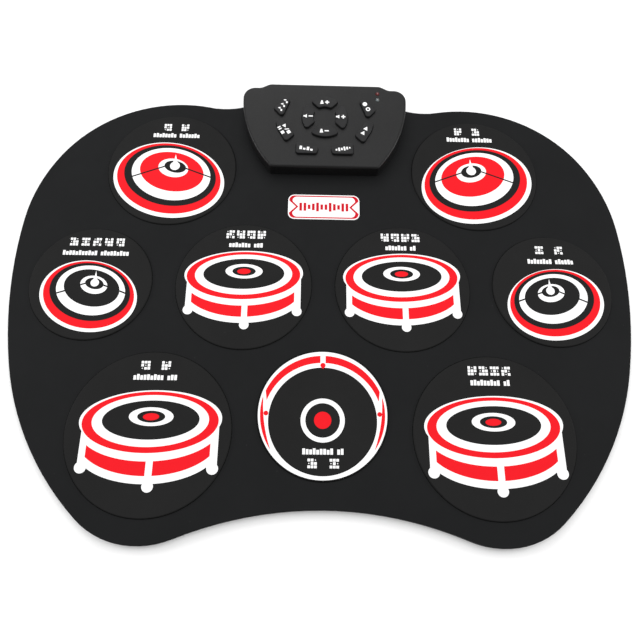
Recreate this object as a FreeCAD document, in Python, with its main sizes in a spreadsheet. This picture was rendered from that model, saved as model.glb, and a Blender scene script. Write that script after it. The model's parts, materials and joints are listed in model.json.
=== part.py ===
"""Roll-up electronic drum pad: nine sprung strike pads in a silicone mat, with a wedge-shaped control box.

Millimetres. +X to the player's right, +Y away from the player, +Z up. The origin is at the middle of
the footprint, on the surface that the mat lies on. Every driving dimension is a cell of the sheet.
"""
import FreeCAD, Part
import Sketcher
import math
import os
import re

V = FreeCAD.Vector

# Name: size in mm, or in degrees where the name ends in turn or slope.
SIZES = {
    # Stack of the mat, from the table up.
    "base_thickness": 1.5,
    "film_thickness": 0.3,
    "mat_top_z": 5.0,
    "pad_top_z": 6.0,
    "pad_thickness": 3.0,
    "pad_edge_round": 0.9,
    "pad_gap": 0.3,
    "pill_radius": 7.0,
    "pill_thickness": 0.4,
    "mat_edge_round": 0.6,
    # Printed film in the mat.
    "film_margin": 4.0,
    "track_width": 8.0,
    "tail_width": 24.0,
    "tail_front_y": 96.0,
    "tail_rear_y": 111.0,
    "riser_height": 8.0,
    # Half outline of the mat: arcs tangent to each other, from the middle of the front edge.
    "front_y": -150.76,
    "notch_radius": 255.8,
    "notch_turn": 21.7,
    "lobe_radius": 58.1,
    "lobe_turn": 64.5,
    "side_radius": 204.9,
    "side_turn": 33.1,
    "flank_radius": 350.5,
    "flank_turn": 18.7,
    "shoulder_radius": 128.1,
    "shoulder_turn": 27.2,
    "crest_radius": 108.3,
    "crest_turn": 69.6,
    "dip_radius": 55.4,
    "dip_turn": 41.4,
    # Strike pads: distance from the middle plane, place along Y, radius.
    "crash_x": 118.2,
    "crash_y": 102.5,
    "crash_radius": 49.3,
    "hat_x": 167.6,
    "hat_y": 4.5,
    "hat_radius": 43.7,
    "tom_x": 57.7,
    "tom_y": 4.8,
    "tom_radius": 49.2,
    "floor_x": 115.2,
    "floor_y": -102.1,
    "floor_radius": 54.9,
    "bass_y": -88.9,
    "bass_radius": 44.4,
    # Printed badge plate.
    "badge_width": 54.6,
    "badge_depth": 21.3,
    "badge_y": 70.8,
    "badge_thickness": 0.6,
    "badge_corner": 5.0,
    # Control box.
    "case_front_y": 100.0,
    "case_bulge": 94.0,
    "case_half": 64.9,
    "case_corner": 9.5,
    "case_shoulder_y": 171.4,
    "case_step_x": 51.0,
    "case_panel_x": 44.0,
    "case_rear_y": 175.0,
    "case_wall": 2.0,
    "panel_thickness": 1.8,
    "panel_y": 101.5,
    "panel_front_z": 16.0,
    "panel_slope": 3.6,
    "case_edge_round": 2.0,
    "case_nose_round": 3.0,
    "case_step_round": 8.0,
    "plate_inset": 0.4,
    "mat_grip": 9.0,
    "mat_room": 0.2,
    "grip_gap_half": 52.0,
    "grip_gap_y": 158.0,
    # Keys, measured along the sloping panel.
    "keys_y": 42.3,
    "key_proud": 2.0,
    "key_gap": 0.3,
    "key_flange": 0.9,
    "key_flange_top": 1.9,
    "key_flange_base": 2.7,
    "ring_inner": 9.1,
    "ring_outer": 18.1,
    "ring_gap": 4.4,
    "key_corner": 2.0,
    "key_crown": 0.6,
    "membrane_top": 3.9,
    "board_top": 4.4,
    "board_thickness": 1.0,
    "dome_height": 0.3,
    "dome_radius": 2.6,
    # Bosses and screws.
    "boss_radius": 3.5,
    "boss_room": 0.4,
    "boss_split_z": 6.0,
    "screw_seat_z": 2.0,
    "screw_radius": 1.1,
    "screw_head_radius": 2.3,
    "screw_head": 1.5,
    "screw_tip_z": 12.0,
    "pilot_spare": 0.5,
    "post_radius": 1.9,
    "board_screw_radius": 0.7,
    "board_screw_head": 1.6,
    "board_pilot": 3.2,
    # AAA batteries, their bay and its door.
    "battery_radius": 5.25,
    "battery_length": 43.5,
    "pole_radius": 1.9,
    "front_row_y": 144.6,
    "row_pitch": 10.8,
    "bridge_width": 2.0,
    "contact_width": 7.0,
    "contact_height": 8.0,
    "contact_z": 2.8,
    "bay_half_x": 46.5,
    "bay_front_y": 139.0,
    "bay_rear_y": 161.0,
    "bay_wall": 1.2,
    "bay_roof_z": 12.1,
    "bay_roof": 0.7,
    "door_front_y": 138.0,
    "door_width": 96.0,
    "door_thickness": 1.3,
    "door_lift": 0.1,
    "door_play": 0.3,
    "tongue_width": 98.6,
    "tongue_thickness": 0.6,
    "tongue_z": 0.5,
    "ledge_thickness": 1.0,
    "rib_length": 22.0,
    "rib_pitch": 2.0,
    "rib_depth": 0.4,
    # Sockets, switch, lamps and the film's connector.
    "jack_bore": 1.8,
    "jack_depth": 9.5,
    "jack_z": 11.2,
    "jack_width": 7.0,
    "jack_height": 6.0,
    "jack_body": 8.8,
    "port_radius": 3.1,
    "usb_x": -19.0,
    "usb_z": 12.4,
    "usb_width": 8.0,
    "usb_height": 3.0,
    "usb_depth": 8.0,
    "usb_wall": 0.4,
    "usb_tongue": 0.7,
    "mouth_depth": 5.0,
    "switch_x": -34.0,
    "switch_z": 12.0,
    "switch_slot": 6.4,
    "switch_travel": 3.0,
    "switch_width": 9.0,
    "switch_body": 4.0,
    "lever_width": 2.6,
    "lever_height": 1.8,
    "lever_depth": 4.4,
    "lever_round": 0.3,
    "led_radius": 1.5,
    "led_x": 42.0,
    "power_led_y": 65.7,
    "beat_led_y": 59.9,
    "connector_y": 108.85,
    "connector_z": 8.0,
    "connector_depth": 4.0,
    "connector_height": 2.6,
}

doc = FreeCAD.newDocument("drum_pad")
sheet = doc.addObject("Spreadsheet::Sheet", "Sizes")
for row, (alias, size) in enumerate(SIZES.items(), start=1):
    sheet.set(f"A{row}", alias)
    sheet.set(f"B{row}", str(size))
    sheet.setAlias(f"B{row}", alias)
doc.recompute()

SUB_PARTS = []


def value(size):
    """A plain number, or what an expression on the sheet's aliases comes to."""
    if isinstance(size, str):
        return float(sheet.evalExpression(size))
    return float(size)


def bound(expression):
    """The same expression as another object reads it from the sheet."""
    return re.sub("[a-z_]+", lambda word: f"Sizes.{word[0]}" if word[0] in SIZES else word[0], expression)


def bind(thing, prop, size):
    """Sets a property from a number, or binds it to the sheet."""
    if isinstance(size, str):
        thing.setExpression(prop, bound(size))
    elif not prop.startswith("Placement"):
        setattr(thing, prop, size)


def new(kind, label):
    """A document object with a label of its own."""
    thing = doc.addObject(kind, label)
    thing.Label = label
    return thing


def move_to(thing, x, y, z):
    """Places a thing, with each coordinate a number or an expression."""
    thing.Placement.Base = V(value(x), value(y), value(z))
    bind(thing, "Placement.Base.x", x)
    bind(thing, "Placement.Base.y", y)
    bind(thing, "Placement.Base.z", z)
    return thing


def cylinder(label, radius, height, x, y, z):
    """An upright cylinder standing on the point given."""
    thing = new("Part::Cylinder", label)
    bind(thing, "Radius", radius)
    bind(thing, "Height", height)
    return move_to(thing, x, y, z)


def block(label, size, corner):
    """A box from its lowest corner."""
    thing = new("Part::Box", label)
    for prop, side in zip(("Length", "Width", "Height"), size):
        bind(thing, prop, side)
    return move_to(thing, *corner)


def middle_block(label, width, size, middle_x, y, z):
    """A box centred on a place along X. size is its depth and height."""
    thing = block(label, (width, *size), (f"{middle_x} - ({width}) / 2", y, z))
    return thing


def cut(label, base, tools):
    """The base with the tools taken away."""
    tool = tools[0] if len(tools) == 1 else fuse(label + "_cutter", tools)
    thing = new("Part::Cut", label)
    thing.Base = base
    thing.Tool = tool
    thing.Refine = True
    return thing


def fuse(label, shapes):
    """The shapes as one solid, or as a group where they stand apart."""
    thing = new("Part::MultiFuse", label)
    thing.Shapes = shapes
    thing.Refine = True
    return thing


def common(label, shapes):
    """What the shapes share."""
    thing = new("Part::MultiCommon", label)
    thing.Shapes = shapes
    thing.Refine = True
    return thing


def sketch(label):
    """A sketch in the XY plane."""
    return new("Sketcher::SketchObject", label)


def join_ends(drawing, first, last):
    """Makes the edges from first to last a closed loop, end to start."""
    for edge in range(first, last + 1):
        following = edge + 1 if edge < last else first
        drawing.addConstraint(Sketcher.Constraint("Coincident", edge, 2, following, 1))


def draw_polygon(drawing, corners):
    """Draws a closed polygon whose corners are pairs of numbers or expressions, and holds each corner."""
    points = [V(value(x), value(y), 0) for x, y in corners]
    for start, end in zip(points, points[1:] + points[:1]):
        drawing.addGeometry(Part.LineSegment(start, end))
    join_ends(drawing, 0, len(points) - 1)
    for edge, corner in enumerate(corners):
        for kind, size in zip(("DistanceX", "DistanceY"), corner):
            held = drawing.addConstraint(Sketcher.Constraint(kind, -1, 1, edge, 1, value(size)))
            if isinstance(size, str):
                drawing.setExpression(f"Constraints[{held}]", bound(size))
    return drawing


def polygon(label, corners):
    """A sketch of one closed polygon."""
    return draw_polygon(sketch(label), corners)


def extrude(label, drawing, base, height):
    """A solid on a sketch or on its offset, from the height base upwards."""
    thing = new("Part::Extrusion", label)
    thing.Base = drawing
    thing.DirMode = "Custom"
    thing.Dir = V(0, 0, 1)
    thing.Solid = True
    bind(thing, "LengthFwd", height)
    return move_to(thing, 0, 0, base)


def offset(label, drawing, distance):
    """An outline moved outwards by a distance, or inwards where it is negative."""
    thing = new("Part::Offset2D", label)
    thing.Source = drawing
    thing.Join = "Intersection"
    bind(thing, "Value", distance)
    return thing


def rounded(label, base, radius, chosen):
    """The base with the edges that chosen picks rounded over."""
    doc.recompute()
    thing = new("Part::Fillet", label)
    thing.Base = base
    size = value(radius)
    thing.Edges = [
        (number, size, size)
        for number, edge in enumerate(base.Shape.Edges, start=1)
        if chosen(edge.BoundBox)
    ]
    return thing


def upright(box):
    """True for the box of an upright edge."""
    return box.ZLength > 0.1 and box.XLength + box.YLength < 0.01


def on_panel(thing):
    """Tilts a thing drawn on the flat into the frame of the sloping panel."""
    for axis in "xyz":
        thing.setExpression(f"Placement.Base.{axis}", None)
    tilt = FreeCAD.Placement(
        V(0, value("panel_y"), value("panel_front_z")),
        FreeCAD.Rotation(V(1, 0, 0), value("panel_slope")),
    )
    thing.Placement = tilt.multiply(thing.Placement)
    return thing


def turned(label, corners, place, lean=None):
    """A body of revolution about its own Z axis. corners are (radius, height) pairs."""
    body = new("PartDesign::Body", label)
    drawing = body.newObject("Sketcher::SketchObject", label + "_profile")
    plane = next(p for p in body.Origin.OriginFeatures if p.Role == "XZ_Plane")
    drawing.AttachmentSupport = [(plane, "")]
    drawing.MapMode = "FlatFace"
    draw_polygon(drawing, corners)
    spin = body.newObject("PartDesign::Revolution", label + "_turn")
    spin.Profile = drawing
    spin.ReferenceAxis = (drawing, ["V_Axis"])
    spin.Angle = 360
    rotation = lean or FreeCAD.Rotation()
    body.Placement = FreeCAD.Placement(V(*(value(at) for at in place)), rotation)
    return body


def keep(thing):
    """Lists a thing as a finished sub-part."""
    SUB_PARTS.append(thing)


# ---------------------------------------------------------------- outlines

MAT_ARCS = ("notch", "lobe", "side", "flank", "shoulder", "crest", "dip")
HOLLOW_ARCS = ("notch", "dip")


def mat_half():
    """The right half of the mat's outline: tangent arcs, closed along the middle plane."""
    drawing = sketch("mat_half")
    at = V(0, value("front_y"), 0)
    heading = 0.0
    for name in MAT_ARCS:
        turn = math.radians(value(name + "_turn"))
        side = -1 if name in HOLLOW_ARCS else 1
        radius = value(name + "_radius")
        centre = at + V(-math.sin(heading), math.cos(heading), 0) * radius * side
        after = heading + turn * side
        start = math.atan2(at.y - centre.y, at.x - centre.x)
        circle = Part.Circle(centre, V(0, 0, 1), radius)
        if side > 0:
            drawing.addGeometry(Part.ArcOfCircle(circle, start, start + turn))
        else:
            drawing.addGeometry(Part.ArcOfCircle(circle, start - turn, start))
        at = centre + V(math.sin(after), -math.cos(after), 0) * radius * side
        heading = after
    for edge, name in enumerate(MAT_ARCS):
        for kind, size in (("Radius", "_radius"), ("Angle", "_turn")):
            amount = value(name + size)
            if kind == "Angle":
                amount = math.radians(amount)
            held = drawing.addConstraint(Sketcher.Constraint(kind, edge, amount))
            unit = " * 1 deg" if kind == "Angle" else ""
            drawing.setExpression(f"Constraints[{held}]", bound(name + size) + unit)
    ends = [(2, 1) if name in HOLLOW_ARCS else (1, 2) for name in MAT_ARCS]
    for edge in range(len(MAT_ARCS) - 1):
        drawing.addConstraint(
            Sketcher.Constraint("Tangent", edge, ends[edge][1], edge + 1, ends[edge + 1][0])
        )
    last = len(MAT_ARCS) - 1
    front = V(0, value("front_y"), 0)
    drawing.addGeometry(Part.LineSegment(at, V(0, at.y, 0)))
    drawing.addGeometry(Part.LineSegment(V(0, at.y, 0), front))
    drawing.addConstraint(Sketcher.Constraint("Coincident", last, ends[last][1], last + 1, 1))
    drawing.addConstraint(Sketcher.Constraint("Coincident", last + 1, 2, last + 2, 1))
    drawing.addConstraint(Sketcher.Constraint("Coincident", last + 2, 2, 0, ends[0][0]))
    drawing.addConstraint(Sketcher.Constraint("Horizontal", last + 1))
    drawing.addConstraint(Sketcher.Constraint("PointOnObject", 0, 3, -2))
    drawing.addConstraint(Sketcher.Constraint("PointOnObject", last + 2, 1, -2))
    drawing.addConstraint(Sketcher.Constraint("PointOnObject", last + 2, 2, -2))
    held = drawing.addConstraint(
        Sketcher.Constraint("DistanceY", -1, 1, last + 2, 2, value("front_y"))
    )
    drawing.setExpression(f"Constraints[{held}]", bound("front_y"))
    return drawing


def mat_sheet(label, base, height, half_outline=None):
    """A sheet with the mat's whole outline, or with another outline drawn as its right half."""
    half = extrude(label + "_right", half_outline or mat_outline, base, height)
    other = new("Part::Mirroring", label + "_left")
    other.Source = half
    other.Normal = V(1, 0, 0)
    return fuse(label + "_whole", [half, other])


def case_outline():
    """The control box from above: a straight front, bulging sides, round rear corners and a step."""
    drawing = sketch("case_outline")
    front = value("case_front_y")
    half = value("case_half")
    bulge = value("case_bulge")
    corner = value("case_corner")
    shoulder = value("case_shoulder_y")
    rear = value("case_rear_y")
    across = value("case_panel_x")
    # The bulging side ends upright, where the round rear corner begins.
    side_end = shoulder - corner
    centre_x = half - bulge
    side_turn = math.asin((side_end - front) / bulge)
    nose_x = centre_x + bulge * math.cos(side_turn)
    middle_x = centre_x + bulge * math.cos(side_turn / 2)
    middle_y = side_end - bulge * math.sin(side_turn / 2)
    diagonal = corner * math.sqrt(0.5)
    for side in (1, -1):
        start = V(side * nose_x, front, 0)
        middle = V(side * middle_x, middle_y, 0)
        end = V(side * half, side_end, 0)
        corner_middle = V(side * (half - corner + diagonal), side_end + diagonal, 0)
        corner_end = V(side * (half - corner), shoulder, 0)
        step = V(side * value("case_step_x"), shoulder, 0)
        drawing.addGeometry(Part.Arc(start, middle, end))
        drawing.addGeometry(Part.Arc(end, corner_middle, corner_end))
        drawing.addGeometry(Part.LineSegment(corner_end, step))
        drawing.addGeometry(Part.LineSegment(step, V(side * across, rear, 0)))
    drawing.addGeometry(Part.LineSegment(V(-nose_x, front, 0), V(nose_x, front, 0)))
    drawing.addGeometry(Part.LineSegment(V(-across, rear, 0), V(across, rear, 0)))
    return drawing


mat_outline = mat_half()
mat_room_outline = offset("mat_room_outline", mat_outline, "mat_room")
outline = case_outline()
inner_outline = offset("case_inner", outline, "-case_wall")
plate_outline = offset("plate_outline", outline, "-plate_inset")
grip_outline = offset("grip_outline", outline, "-mat_grip")

# Boss places, as (x, y), for the right side. The left side mirrors them.
BOSSES = ((35.5, 107.4), (53.5, 137.0), (54.0, 162.0))


def both_sides(places):
    return [(side * x, y) for x, y in places for side in (-1, 1)]


# ---------------------------------------------------------------- mat

# Name, place along X and Y, and radius of each strike pad.
PADS = (
    ("crash_cymbal_pad_left", "-crash_x", "crash_y", "crash_radius"),
    ("crash_cymbal_pad_right", "crash_x", "crash_y", "crash_radius"),
    ("hi_hat_pad", "-hat_x", "hat_y", "hat_radius"),
    ("ride_cymbal_pad", "hat_x", "hat_y", "hat_radius"),
    ("high_tom_pad", "-tom_x", "tom_y", "tom_radius"),
    ("low_tom_pad", "tom_x", "tom_y", "tom_radius"),
    ("snare_drum_pad", "-floor_x", "floor_y", "floor_radius"),
    ("floor_tom_pad", "floor_x", "floor_y", "floor_radius"),
    ("bass_drum_pad", "0", "bass_y", "bass_radius"),
)
PAD_PLACES = {name: (x, y) for name, x, y, _ in PADS}
# Pads that a straight track of the film joins.
TRACKS = (
    ("crash_cymbal_pad_left", "high_tom_pad"),
    ("hi_hat_pad", "high_tom_pad"),
    ("snare_drum_pad", "high_tom_pad"),
    ("crash_cymbal_pad_right", "low_tom_pad"),
    ("ride_cymbal_pad", "low_tom_pad"),
    ("floor_tom_pad", "low_tom_pad"),
    ("high_tom_pad", "low_tom_pad"),
)
FILM_TOP = "base_thickness + film_thickness"


def pad_centre(name):
    x, y = PAD_PLACES[name]
    return V(value(x), value(y), 0)


def track(first, second):
    """One straight track of the film from pad to pad."""
    start = pad_centre(first)
    along = pad_centre(second) - start
    thing = block(f"track_{first}_{second}", (along.Length, "track_width", "film_thickness"), (0, 0, 0))
    turn = FreeCAD.Rotation(V(1, 0, 0), along)
    shift = turn.multVec(V(0, value("-track_width / 2"), 0))
    thing.Placement = FreeCAD.Placement(start + shift + V(0, 0, value("base_thickness")), turn)
    return thing


def make_base():
    """The sheet under the film, open where the control box stands."""
    opening = extrude("base_opening", outline, -1, "base_thickness + 2")
    keep(cut("mat_base", mat_sheet("base", 0, "base_thickness"), [opening]))


def make_film():
    """The printed film: a disc under each pad, tracks, and a tail that turns up into its connector."""
    discs = [
        cylinder(name + "_sensor", f"{radius} - film_margin", "film_thickness", x, y, "base_thickness")
        for name, x, y, radius in PADS
    ]
    tracks = [track(first, second) for first, second in TRACKS]
    spine = middle_block(
        "film_spine",
        "track_width",
        ("tail_front_y + 2 - bass_y", "film_thickness"),
        0,
        "bass_y",
        "base_thickness",
    )
    tail = middle_block(
        "film_tail",
        "tail_width",
        ("tail_rear_y - tail_front_y", "film_thickness"),
        0,
        "tail_front_y",
        "base_thickness",
    )
    riser = middle_block(
        "film_riser",
        "tail_width",
        ("film_thickness", "riser_height"),
        0,
        "tail_rear_y - film_thickness",
        "base_thickness",
    )
    keep(fuse("sensor_film", discs + tracks + [spine, tail, riser]))


def make_mat_top():
    """The top sheet: wells for the pads, an opening for the control box, and a soft outer edge."""
    sheet_top = mat_sheet("top", FILM_TOP, f"mat_top_z - ({FILM_TOP})")
    lowest = value("mat_top_z") - 0.01
    softened = rounded(
        "top_softened", sheet_top, "mat_edge_round", lambda b: b.ZMin > lowest and b.YLength > 1
    )
    wells = [
        cylinder(name + "_well", f"{radius} + pad_gap", "mat_top_z", x, y, 0) for name, x, y, radius in PADS
    ]
    holes = [
        cylinder(f"boss_hole_{n}", "boss_radius + boss_room", "mat_top_z + 2", x, y, 0)
        for n, (x, y) in enumerate(both_sides(BOSSES))
    ]
    opening = extrude("grip_opening", grip_outline, 0, "mat_top_z + 2")
    rear_gap = middle_block(
        "rear_gap", "2 * grip_gap_half", ("case_rear_y - grip_gap_y", "mat_top_z + 2"), 0, "grip_gap_y", 0
    )
    keep(cut("mat_top", softened, wells + holes + [opening, rear_gap]))


def make_pads():
    """Strike pads with a round edge, and the conductive pill under each."""
    underside = "pad_top_z - pad_thickness"
    lowest = value("pad_top_z") - 0.01
    for name, x, y, radius in PADS:
        blank = cylinder(name + "_blank", radius, "pad_thickness", x, y, underside)
        keep(rounded(name, blank, "pad_edge_round", lambda b: b.ZMin > lowest))
        pill_name = name.replace("_pad", "") + "_contact"
        keep(cylinder(pill_name, "pill_radius", "pill_thickness", x, y, f"{underside} - pill_thickness"))


def make_badge():
    """The plate between the crash pads, with round corners."""
    plain = middle_block(
        "badge_block",
        "badge_width",
        ("badge_depth", "badge_thickness"),
        0,
        "badge_y - badge_depth / 2",
        "mat_top_z",
    )
    keep(rounded("badge_plate", plain, "badge_corner", upright))


# ---------------------------------------------------------------- keys

# Corners of the three left-hand outer keys, from the middle of the key ring.
DEMO_KEY = ((-30.3, 17.3), (-40.6, 7.2), (-33.4, -0.9), (-27.5, 14.6))
START_KEY = ((-38.6, -5.0), (-36.6, -11.8), (-30.2, -23.2), (-23.4, -16.4), (-32.6, -3.6))
RHYTHM_KEY = ((-22.2, -22.8), (-22.2, -33.2), (-6.2, -33.2), (-4.6, -27.6))


def mirrored(corners):
    return tuple((-x, y) for x, y in reversed(corners))


OUTER_KEYS = (
    ("demo_key", DEMO_KEY),
    ("start_stop_key", START_KEY),
    ("rhythm_key", RHYTHM_KEY),
    ("record_key", mirrored(DEMO_KEY)),
    ("play_key", mirrored(START_KEY)),
    ("style_key", mirrored(RHYTHM_KEY)),
)
# Name of each key of the ring, and the direction it lies in.
RING_KEYS = (
    ("tempo_up_key", 90.0),
    ("volume_down_key", 180.0),
    ("tempo_down_key", 270.0),
    ("volume_up_key", 0.0),
)
# Right-hand half of the membrane's outline on the panel.
MEMBRANE_HALF = ((29.5, 5.2), (29.5, 12.5), (44.5, 21.0), (44.5, 55.0), (37.5, 61.0))


def ring_key_outline(name, heading):
    """A quarter of the key ring, with its sides parallel to the gaps between the quarters."""
    drawing = sketch(name + "_outline")
    centre = V(0, value("keys_y"), 0)
    middle = math.radians(heading)
    inner, outer = value("ring_inner"), value("ring_outer")
    half_gap = value("ring_gap / 2")

    def on_circle(radius, side):
        reach = math.pi / 4 - math.asin(half_gap / radius)
        angle = middle + side * reach
        return centre + V(math.cos(angle), math.sin(angle), 0) * radius

    drawing.addGeometry(Part.Arc(on_circle(outer, -1), on_circle(outer, 0), on_circle(outer, 1)))
    drawing.addGeometry(Part.LineSegment(on_circle(outer, 1), on_circle(inner, 1)))
    drawing.addGeometry(Part.Arc(on_circle(inner, 1), on_circle(inner, 0), on_circle(inner, -1)))
    drawing.addGeometry(Part.LineSegment(on_circle(inner, -1), on_circle(outer, -1)))
    return drawing


def key_prism(label, drawing, grow, base, height):
    """A prism on a key's outline moved outwards, with corners rounded by as much more."""
    sharp = extrude(label + "_block", offset(label + "_outline", drawing, grow), base, height)
    tall = value(height) - 0.01
    return rounded(label, sharp, f"key_corner + {grow}", lambda b: b.ZLength > tall)


def make_key(name, drawing):
    """One key: a cap through the panel and a flange under it. Gives back the cutter for its hole."""
    cap = extrude(name + "_block", drawing, "-key_flange_base", "key_proud + key_flange_base")
    tall = value("key_proud + key_flange_base") - 0.01
    softened = rounded(name + "_cap", cap, "key_corner", lambda b: b.ZLength > tall)
    highest = value("key_proud") - 0.01
    crowned = rounded(name + "_crown", softened, "key_crown", lambda b: b.ZMin > highest)
    skirt = key_prism(
        name + "_skirt", drawing, "key_flange", "-key_flange_base", "key_flange_base - key_flange_top"
    )
    keep(on_panel(fuse(name, [crowned, skirt])))
    return key_prism(name + "_hole", drawing, "key_gap", "-2 * panel_thickness", "4 * panel_thickness")


def key_middle(corners):
    xs, ys = [x for x, _ in corners], [y for _, y in corners]
    return sum(xs) / len(xs), sum(ys) / len(ys)


def make_keys():
    """All ten keys and the rubber membrane under them. Gives back the cutter for the panel's holes."""
    holes = []
    domes = []
    reach = value("(ring_inner + ring_outer) / 2")
    for name, heading in RING_KEYS:
        holes.append(make_key(name, ring_key_outline(name, heading)))
        angle = math.radians(heading)
        domes.append((reach * math.cos(angle), reach * math.sin(angle)))
    for name, corners in OUTER_KEYS:
        placed = [(x, f"keys_y + ({y})") for x, y in corners]
        holes.append(make_key(name, polygon(name + "_outline", placed)))
        domes.append(key_middle(corners))
    bumps = [
        cylinder(f"dome_{n}", "dome_radius", "dome_height", x, f"keys_y + ({y})", "-membrane_top")
        for n, (x, y) in enumerate(domes)
    ]
    rubber = polygon("membrane_outline", MEMBRANE_HALF + mirrored(MEMBRANE_HALF))
    flat = extrude("membrane_sheet", rubber, "-board_top", "board_top - membrane_top")
    keep(on_panel(fuse("key_membrane", [flat] + bumps)))
    return on_panel(fuse("key_holes", holes))


# ---------------------------------------------------------------- control box

# Name of each LED, and its place along the panel.
LEDS = (("power_led", "power_led_y"), ("beat_led", "beat_led_y"))
# Posts that the main board screws to, on the right-hand side of the panel.
BOARD_POSTS = ((46.8, 28.6), (46.8, 60.6))
# Name and place along X of each 3.5 mm jack in the rear panel.
REAR_SOCKETS = (
    ("headphone_jack", -4.0),
    ("line_in_jack", 8.0),
    ("hi_hat_pedal_jack", 24.0),
    ("bass_pedal_jack", 35.0),
)
# Right-hand half of the main board's outline on the panel.
BOARD_HALF = ((30.5, 4.5), (30.5, 11.0), (43.0, 12.5), (49.0, 26.5), (49.0, 64.0), (44.0, 67.8))
# Chips under the main board: name, size in plan, corner in plan, height.
CHIPS = (
    ("sound_chip", (10.0, 10.0), (-22.0, 20.0), 1.4),
    ("amplifier_chip", (6.0, 5.0), (12.0, 22.0), 1.4),
    ("crystal", (8.0, 3.6), (-4.0, 26.0), 2.2),
)
BOARD_UNDER = "-board_top - board_thickness"
# Larger than the control box in every direction.
BEYOND = 250.0


def lying_cylinder(label, radius, length, x, y, z):
    """A cylinder along +Y from the point given."""
    thing = cylinder(label, radius, length, x, y, z)
    thing.Placement.Rotation = FreeCAD.Rotation(V(1, 0, 0), -90)
    return thing


def make_wedge():
    """The control box as a solid wedge with a round top edge."""
    lump = extrude("case_lump", outline, "base_thickness", "2 * panel_front_z")
    above = on_panel(middle_block("above_panel", BEYOND, (BEYOND, BEYOND), 0, -BEYOND / 4, 0))
    nose_limit = value("case_front_y + case_corner")
    nose = rounded("case_nose", lump, "case_nose_round", lambda b: upright(b) and b.YMax < nose_limit)
    shoulder = value("case_shoulder_y") - 0.01
    widest = value("case_step_x") + 0.01
    steps = rounded(
        "case_steps",
        nose,
        "case_step_round",
        lambda b: upright(b) and b.YMin > shoulder and abs(b.XMin) < widest,
    )
    wedge = cut("case_wedge", steps, [above])
    lowest = value("panel_front_z") - 0.5
    return wedge, rounded("case_skin", wedge, "case_edge_round", lambda b: b.ZMin > lowest)


def make_posts(wedge):
    """Six screw posts and four board posts that hang from the inside of the panel."""
    posts = [
        cylinder(f"post_{n}", "boss_radius", "2 * panel_front_z", x, y, "boss_split_z")
        for n, (x, y) in enumerate(both_sides(BOSSES))
    ]
    pillars = [
        on_panel(cylinder(f"board_post_{n}", "post_radius", "board_top", x, y, "-board_top"))
        for n, (x, y) in enumerate(both_sides(BOARD_POSTS))
    ]
    return common("case_posts", [fuse("all_posts", posts + pillars), wedge])


def make_ports():
    """Cutters for the screw pilots, the LEDs and the openings of the rear panel."""
    pilots = [
        cylinder(
            f"pilot_{n}", "screw_radius", "screw_tip_z + pilot_spare - boss_split_z", x, y, "boss_split_z"
        )
        for n, (x, y) in enumerate(both_sides(BOSSES))
    ]
    board_pilots = [
        on_panel(cylinder(f"board_pilot_{n}", "board_screw_radius", "board_pilot", x, y, "-board_top - 0.1"))
        for n, (x, y) in enumerate(both_sides(BOARD_POSTS))
    ]
    led_holes = [
        on_panel(cylinder(f"{name}_hole", "led_radius + 0.1", "2 * board_top", "led_x", y, "-board_top"))
        for name, y in LEDS
    ]
    depth = "case_wall + 4"
    start = "case_rear_y - case_wall - 2"
    sockets = [
        lying_cylinder(f"{name}_port", "port_radius", depth, x, start, "jack_z") for name, x in REAR_SOCKETS
    ]
    usb = middle_block(
        "usb_port",
        "usb_width + 0.6",
        (depth, "usb_height + 0.6"),
        "usb_x",
        start,
        "usb_z - usb_height / 2 - 0.3",
    )
    switch = middle_block(
        "switch_port",
        "switch_slot",
        (depth, "lever_height + 0.8"),
        "switch_x",
        start,
        "switch_z - lever_height / 2 - 0.4",
    )
    return pilots + board_pilots + led_holes + sockets + [usb, switch]


def make_top_shell(key_holes):
    """The upper shell: a wedge with a round top edge, hollow below, that grips the mat with its rim."""
    wedge, skin = make_wedge()
    hollow = extrude("case_hollow_block", inner_outline, -1, "2 * panel_front_z")
    ceiling = on_panel(
        middle_block("below_panel", BEYOND, (BEYOND, BEYOND), 0, -BEYOND / 4, f"-panel_thickness - {BEYOND}")
    )
    cavity = common("case_cavity", [hollow, ceiling])
    mat_space = mat_sheet("mat_space", 0, "mat_top_z", mat_room_outline)
    walls = cut("case_walls", skin, [cavity, mat_space])
    solid = fuse("case_with_posts", [walls, make_posts(wedge)])
    keep(cut("top_shell", solid, [key_holes] + make_ports()))


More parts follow.
